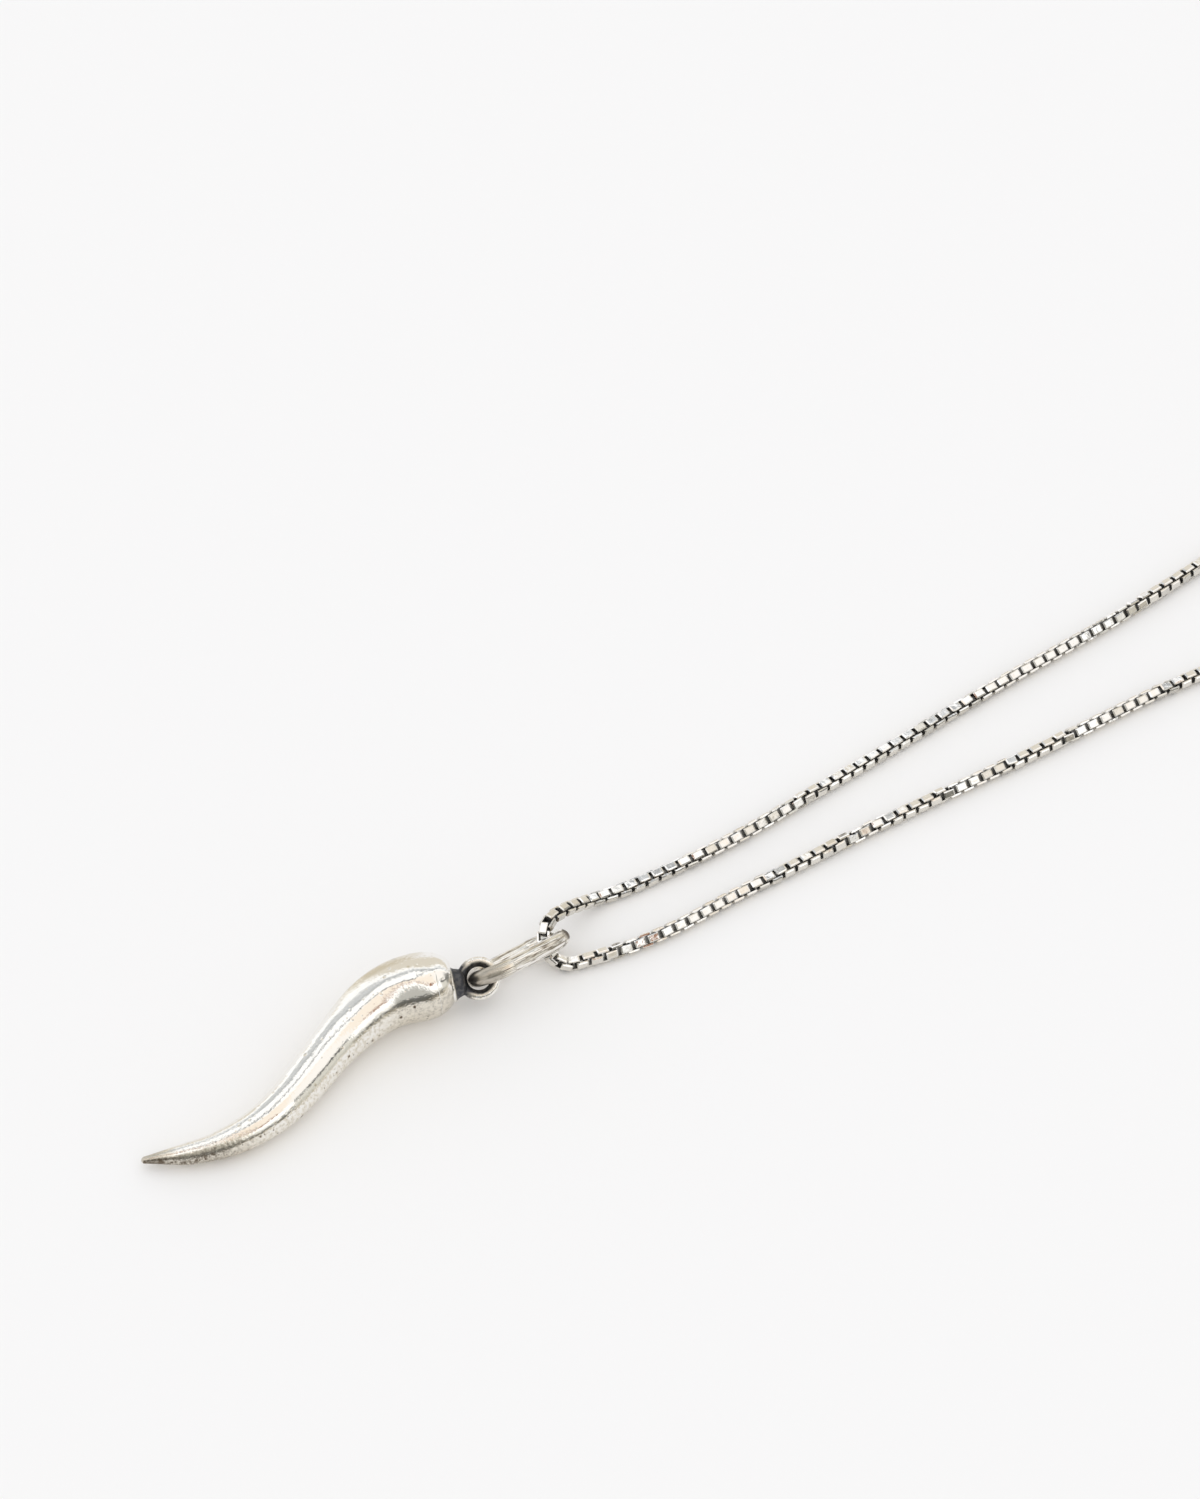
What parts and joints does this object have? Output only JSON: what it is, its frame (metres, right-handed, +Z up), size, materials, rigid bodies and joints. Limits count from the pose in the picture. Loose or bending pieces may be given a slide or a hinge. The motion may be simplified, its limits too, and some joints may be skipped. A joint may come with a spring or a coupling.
{
  "type": "cornicello horn pendant on a box chain",
  "caption": "Curved cast silver horn with a capped loop, on an oval bail threaded on a fine box chain with a plain ring clasp.",
  "frame": {"origin": "on the surface that the necklace lies on, under the middle of its box", "axes": "+X runs along the necklace from the horn's tip to the clasp, +Z points up from the surface"},
  "size_m": [0.234, 0.075, 0.005],
  "materials": {
    "horn_silver": "polished cast silver, finely pitted and tarnished in its hollows",
    "bail_silver": "polished silver wire, lightly scratched",
    "chain_silver": "bright cut silver links",
    "clasp_silver": "polished silver"
  },
  "bodies": {
    "root": {"horn": "horn_silver", "bail": "bail_silver", "chain": "chain_silver", "clasp": "clasp_silver"}
  },
  "joints": []
}
